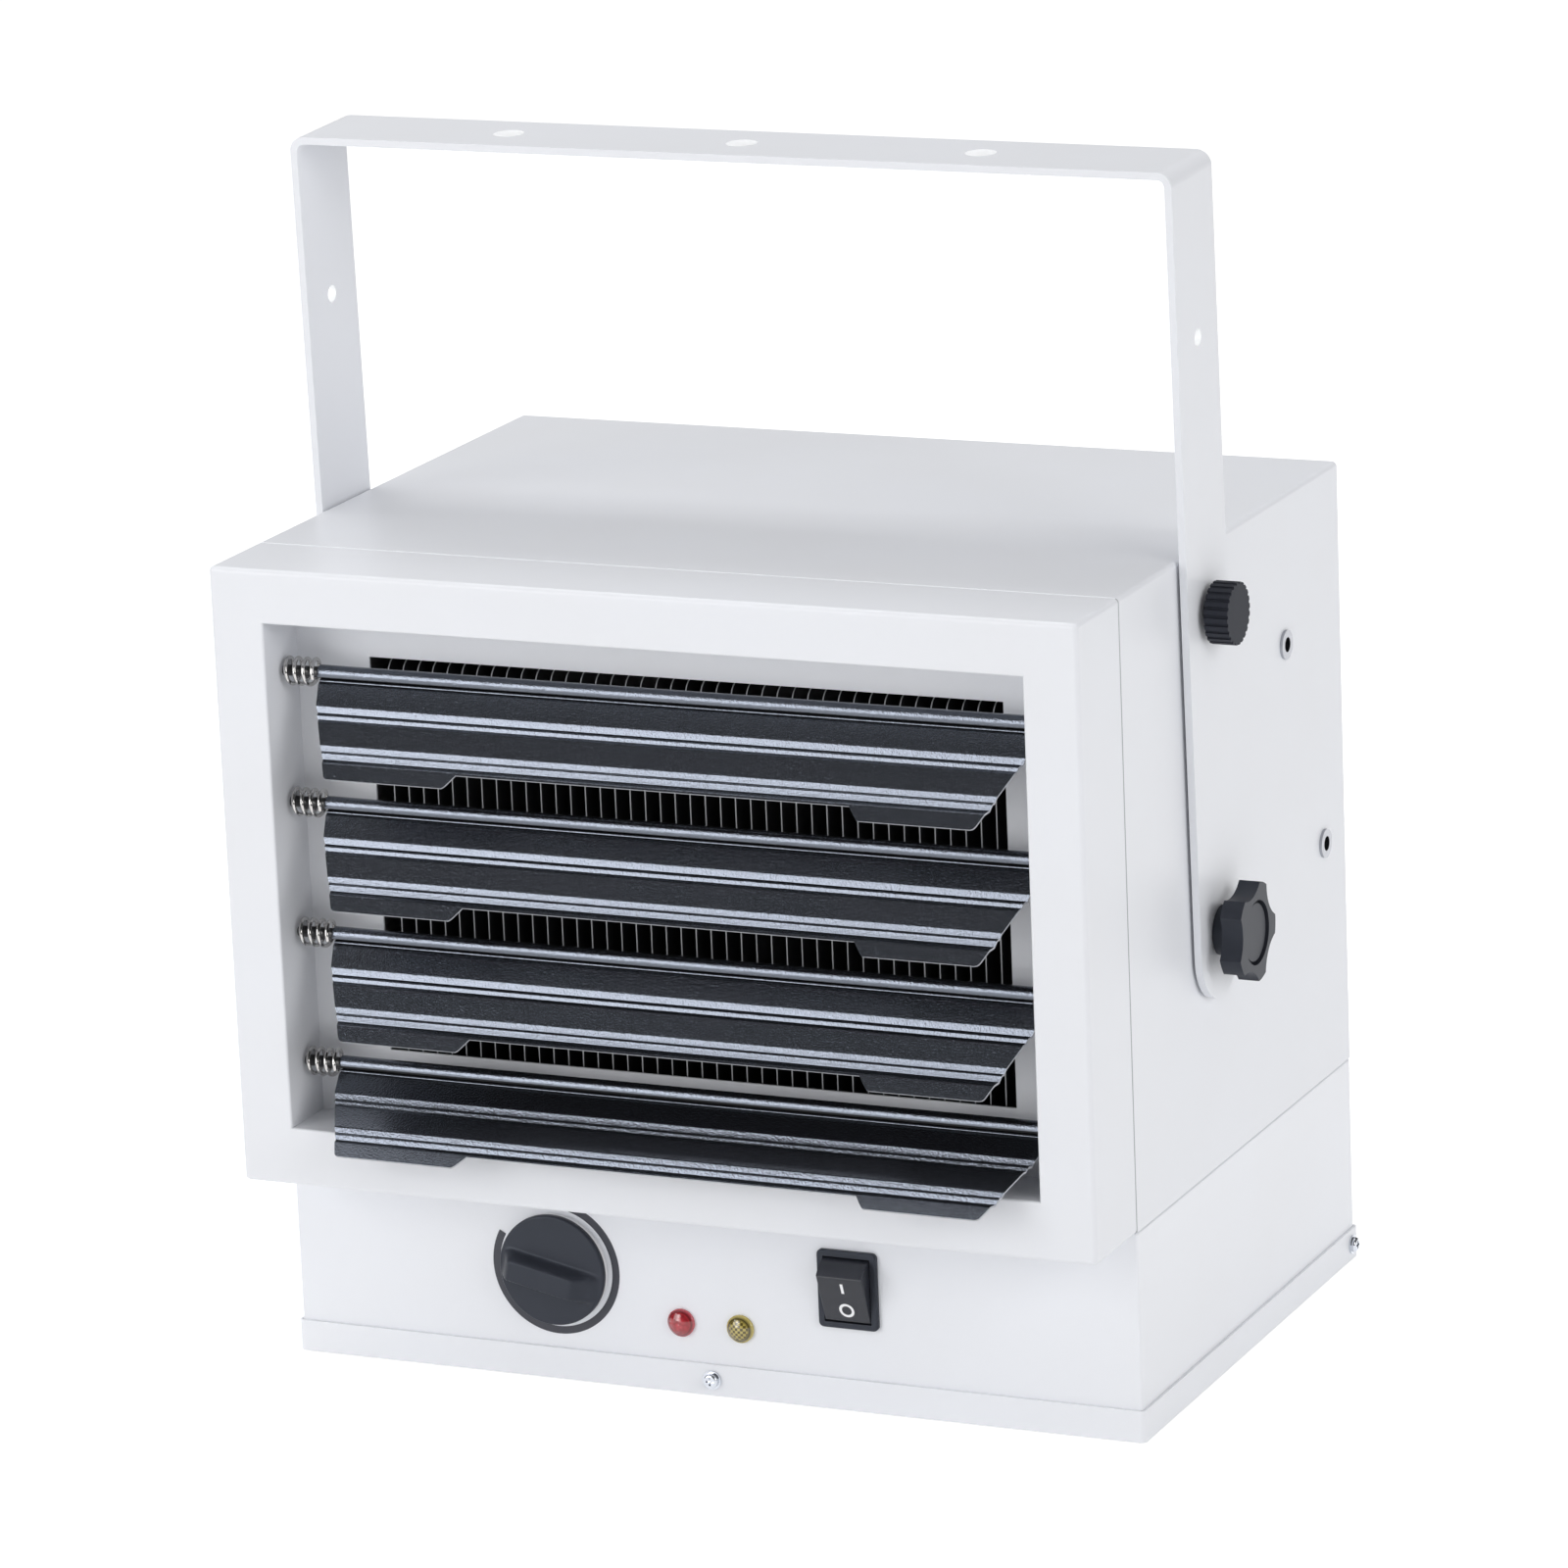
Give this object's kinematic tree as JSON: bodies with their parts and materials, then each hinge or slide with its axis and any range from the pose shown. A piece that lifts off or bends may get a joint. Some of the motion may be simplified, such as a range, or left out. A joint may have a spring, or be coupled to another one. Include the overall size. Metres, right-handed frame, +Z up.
{
  "type": "garage heater",
  "caption": "White fan-forced garage heater with tilting charcoal louvers, thermostat dial, rocker switch, lamps and a swinging ceiling bracket held by star knobs",
  "frame": {"origin": "middle of the base tray's underside", "axes": "+X to the right seen from the front, +Y to the back, +Z up"},
  "size_m": [0.41, 0.3057, 0.496],
  "materials": {
    "white_paint": "fine powder coat, cool white",
    "charcoal_paint": "satin powder coat, charcoal",
    "black_fin": "matt heat-proof black",
    "element_steel": "dull sheathed tube",
    "bare_steel": "plain zinc-coated sheet",
    "zinc": "bright zinc plate",
    "nickel": "bright nickel wire",
    "black_rod": "blackened rod",
    "motor_black": "black motor can",
    "fan_aluminium": "pressed fan",
    "black_plastic": "moulded, fine grain",
    "gloss_black": "moulded, smooth",
    "pale_plastic": "moulded, light grey",
    "red_lens": "clear red lens",
    "amber_lens": "clear amber lens"
  },
  "bodies": {
    "cabinet": {"base_tray": "white_paint", "base_case": "white_paint", "upper_case": "white_paint", "rear_panel": "white_paint", "front_frame": "white_paint", "tray_screws": "zinc", "rear_screws": "zinc", "lock_nuts": "zinc", "pivot_nuts": "zinc", "divider_plate": "bare_steel", "outlet_baffle": "bare_steel", "element_end_plates": "bare_steel", "fan_shroud": "bare_steel", "motor_bracket": "bare_steel", "heating_fins": "black_fin", "heating_elements": "element_steel", "motor_housing": "motor_black", "limit_cutout": "black_plastic", "thermostat_body": "black_plastic", "red_lamp": "red_lens", "amber_lamp": "amber_lens", "switch_housing": "black_plastic", "cable_bushing": "black_plastic", "terminal_block": "pale_plastic", "louver_spring_1": "nickel", "louver_spring_2": "nickel", "louver_spring_3": "nickel", "louver_spring_4": "nickel"},
    "bracket": {"mounting_bracket": "white_paint"},
    "star_knob_left": {"star_knob_left": "black_plastic", "pivot_bolt_left": "zinc"},
    "star_knob_right": {"star_knob_right": "black_plastic", "pivot_bolt_right": "zinc"},
    "lock_screw_left": {"lock_cap_left": "black_plastic", "lock_stud_left": "zinc"},
    "lock_screw_right": {"lock_cap_right": "black_plastic", "lock_stud_right": "zinc"},
    "louver_1": {"louver_blade_1": "charcoal_paint", "louver_rod_1": "black_rod"},
    "louver_2": {"louver_blade_2": "charcoal_paint", "louver_rod_2": "black_rod"},
    "louver_3": {"louver_blade_3": "charcoal_paint", "louver_rod_3": "black_rod"},
    "louver_4": {"louver_blade_4": "charcoal_paint", "louver_rod_4": "black_rod"},
    "dial": {"thermostat_knob": "black_plastic", "dial_trim_ring": "pale_plastic", "thermostat_shaft": "zinc"},
    "rocker": {"rocker": "gloss_black"},
    "fan": {"fan_wheel": "fan_aluminium", "motor_shaft": "zinc"}
  },
  "joints": [
    {"name": "bracket_tilt", "type": "hinge", "parent": "cabinet", "child": "bracket", "pos_m": [0, -0.0345, 0.1855], "axis": [-1, 0, 0], "range_deg": [0, 91.8]},
    {"name": "star_knob_left_turn", "type": "hinge", "parent": "bracket", "child": "star_knob_left", "pos_m": [-0.195, -0.0345, 0.1855], "axis": [-1, 0, 0], "continuous": true},
    {"name": "lock_screw_left_turn", "type": "hinge", "parent": "bracket", "child": "lock_screw_left", "pos_m": [-0.195, -0.0386, 0.31594], "axis": [-1, 0, 0], "continuous": true},
    {"name": "star_knob_right_turn", "type": "hinge", "parent": "bracket", "child": "star_knob_right", "pos_m": [0.195, -0.0345, 0.1855], "axis": [1, 0, 0], "continuous": true},
    {"name": "lock_screw_right_turn", "type": "hinge", "parent": "bracket", "child": "lock_screw_right", "pos_m": [0.195, -0.0386, 0.31594], "axis": [1, 0, 0], "continuous": true},
    {"name": "louver_1_tilt", "type": "hinge", "parent": "cabinet", "child": "louver_1", "pos_m": [0, -0.1465, 0.2959], "axis": [-1, 0, 0], "range_deg": [-38, 52]},
    {"name": "louver_2_tilt", "type": "hinge", "parent": "cabinet", "child": "louver_2", "pos_m": [0, -0.1465, 0.24193], "axis": [-1, 0, 0], "range_deg": [-38, 52]},
    {"name": "louver_3_tilt", "type": "hinge", "parent": "cabinet", "child": "louver_3", "pos_m": [0, -0.1465, 0.18797], "axis": [-1, 0, 0], "range_deg": [-38, 52]},
    {"name": "louver_4_tilt", "type": "hinge", "parent": "cabinet", "child": "louver_4", "pos_m": [0, -0.1465, 0.134], "axis": [-1, 0, 0], "range_deg": [-15, 32]},
    {"name": "thermostat_turn", "type": "hinge", "parent": "cabinet", "child": "dial", "pos_m": [-0.0679, -0.1255, 0.047], "axis": [0, 1, 0], "range_deg": [-246, 24]},
    {"name": "switch_rock", "type": "hinge", "parent": "cabinet", "child": "rocker", "pos_m": [0.061, -0.1195, 0.0506], "axis": [-1, 0, 0], "range_deg": [0, 42]},
    {"name": "fan_spin", "type": "hinge", "parent": "cabinet", "child": "fan", "pos_m": [0, -0.0635, 0.21325], "axis": [0, 1, 0], "continuous": true}
  ]
}
